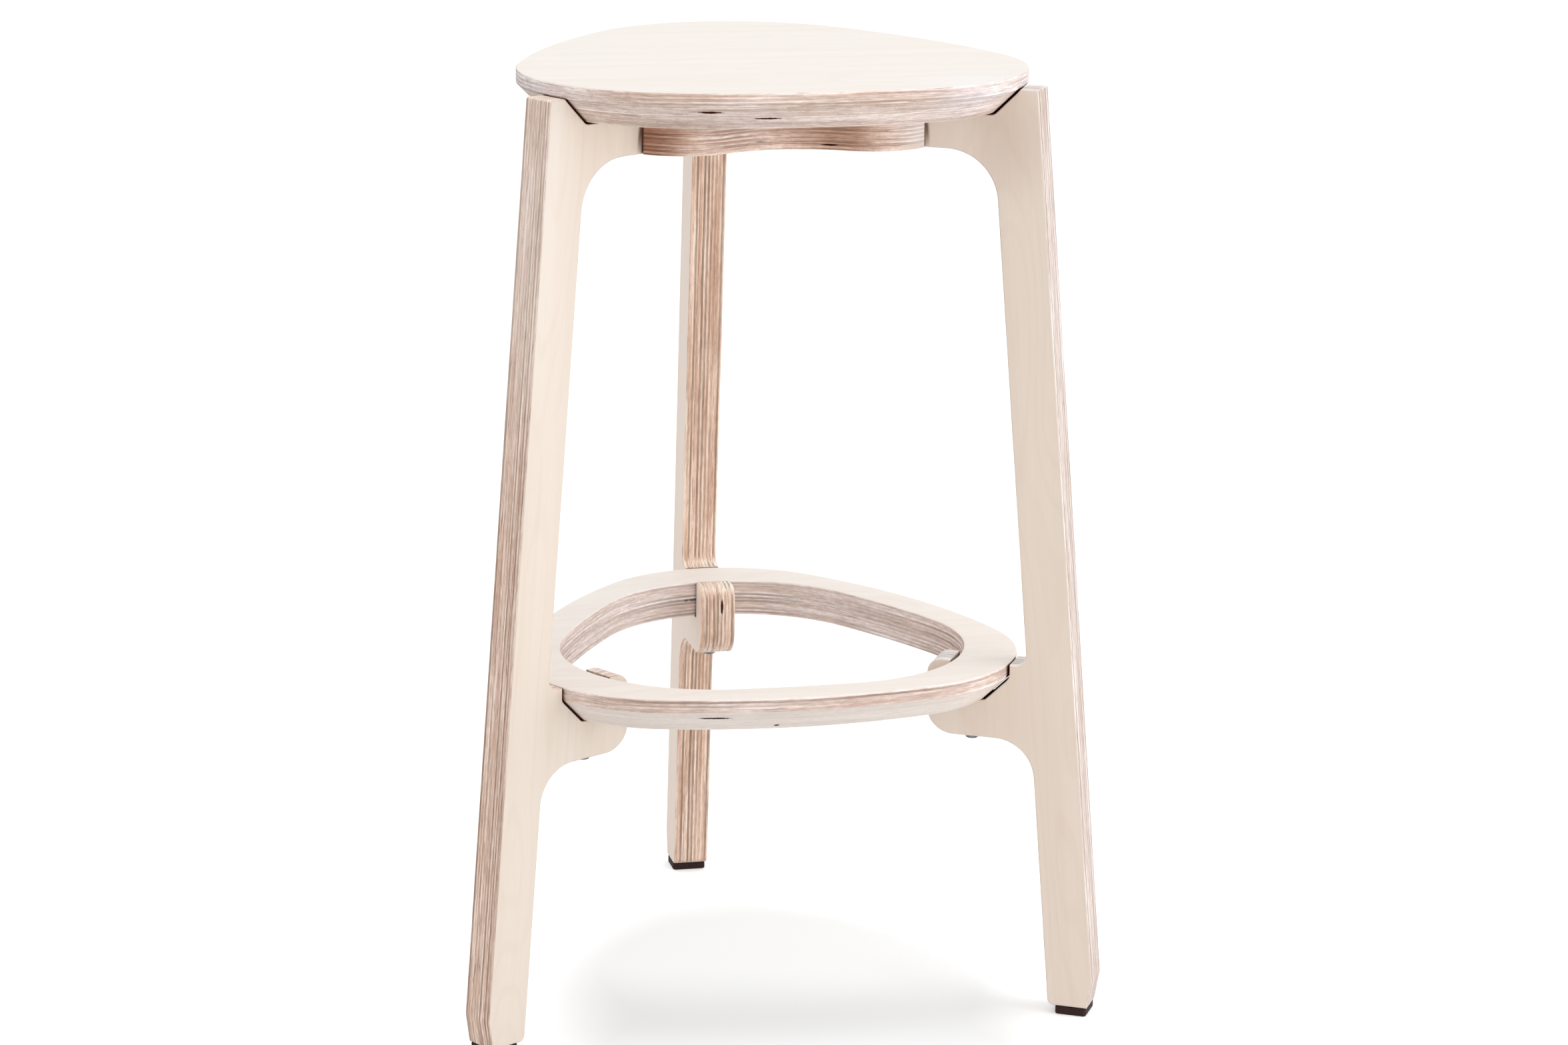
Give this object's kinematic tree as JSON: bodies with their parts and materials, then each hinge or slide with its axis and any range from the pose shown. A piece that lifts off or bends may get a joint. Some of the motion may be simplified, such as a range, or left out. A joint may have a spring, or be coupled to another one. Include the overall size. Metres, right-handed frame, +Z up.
{
  "type": "stool",
  "caption": "Three-legged plywood stacking stool: rounded three-sided seat on a lobed hub plate, blade legs with cradles and a matching footrest ring",
  "frame": {"origin": "on the floor, under the middle of the stool's bounding box; the axis through the seat's middle stands 48.5 mm towards -Y from it, because only one of the three legs points to +Y", "axes": "+Z points up out of the seat, +Y runs towards the back leg, and +X points to the sitter's right when the sitter faces the back leg"},
  "size_m": [0.4434, 0.401, 0.65],
  "materials": {
    "plywood": "clear matt lacquer over pale veneer, with striped edges",
    "dark_pad": "matt",
    "zinc": "zinc plated"
  },
  "bodies": {
    "root": {"seat": "plywood", "hub_plate": "plywood", "footrest_ring": "plywood", "leg_back": "plywood", "foot_pad_back": "dark_pad", "arm_screw_back": "zinc", "ring_screw_back": "zinc", "pad_screw_back": "zinc", "hub_screw_opposite_back": "zinc", "leg_left": "plywood", "foot_pad_left": "dark_pad", "arm_screw_left": "zinc", "ring_screw_left": "zinc", "pad_screw_left": "zinc", "hub_screw_opposite_left": "zinc", "leg_right": "plywood", "foot_pad_right": "dark_pad", "arm_screw_right": "zinc", "ring_screw_right": "zinc", "pad_screw_right": "zinc", "hub_screw_opposite_right": "zinc"}
  },
  "joints": []
}
